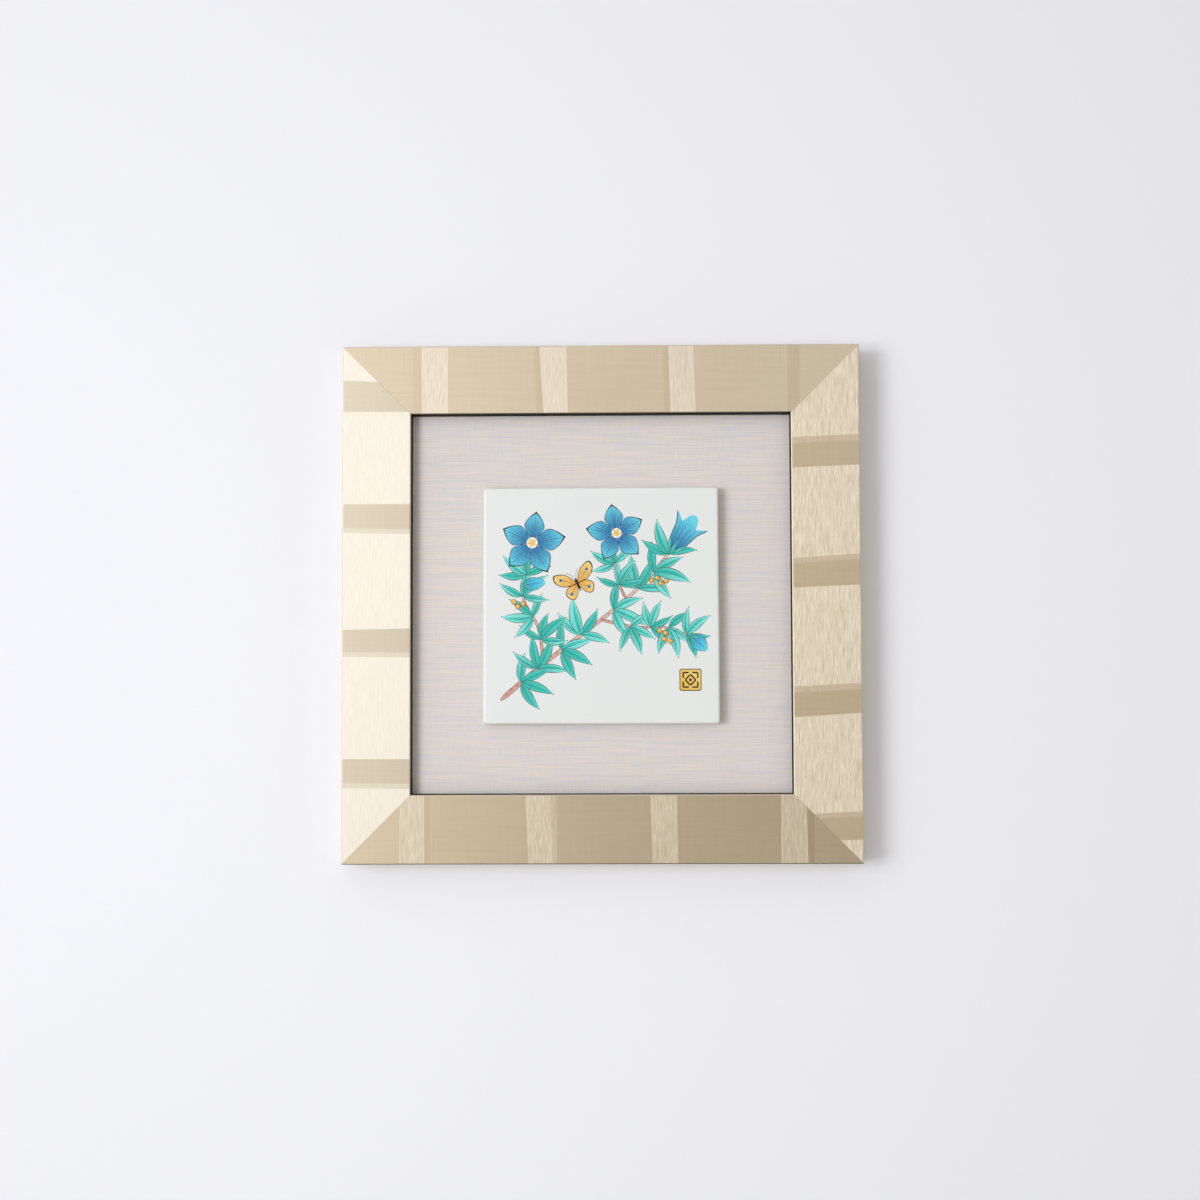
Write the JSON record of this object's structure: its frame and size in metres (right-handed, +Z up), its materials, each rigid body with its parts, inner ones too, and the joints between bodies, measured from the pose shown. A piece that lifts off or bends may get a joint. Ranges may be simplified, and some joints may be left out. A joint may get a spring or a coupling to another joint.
{
  "type": "framed porcelain plaque",
  "caption": "Square glazed porcelain plaque on a cloth-covered panel in a flat mitred wooden frame, made to hang on a wall nail or screw.",
  "frame": {"origin": "the hanging point: on the back face of the keyhole plate, just above its slot, in the plane of the frame's back", "axes": "+Y towards the wall, the front faces -Y, +Z up, +X to the right as seen from the front"},
  "size_m": [0.33, 0.0243, 0.33],
  "materials": {
    "foil": "champagne metal foil over wood, brushed along and across in turn",
    "cloth": "board covered in fine ribbed cloth",
    "porcelain": "glossy white glaze with a painted spray",
    "hardboard": "smooth brown hardboard",
    "steel": "zinc-plated"
  },
  "bodies": {
    "root": {"rail_top": "foil", "rail_right": "foil", "rail_bottom": "foil", "rail_left": "foil", "mat_panel": "cloth", "plaque": "porcelain", "back_board": "hardboard", "backing_tab_1": "steel", "backing_tab_2": "steel", "backing_tab_3": "steel", "backing_tab_4": "steel", "backing_tab_5": "steel", "backing_tab_6": "steel", "backing_tab_7": "steel", "backing_tab_8": "steel", "hanger_plate": "steel", "hanger_screw_left": "steel", "hanger_screw_right": "steel"}
  },
  "joints": []
}
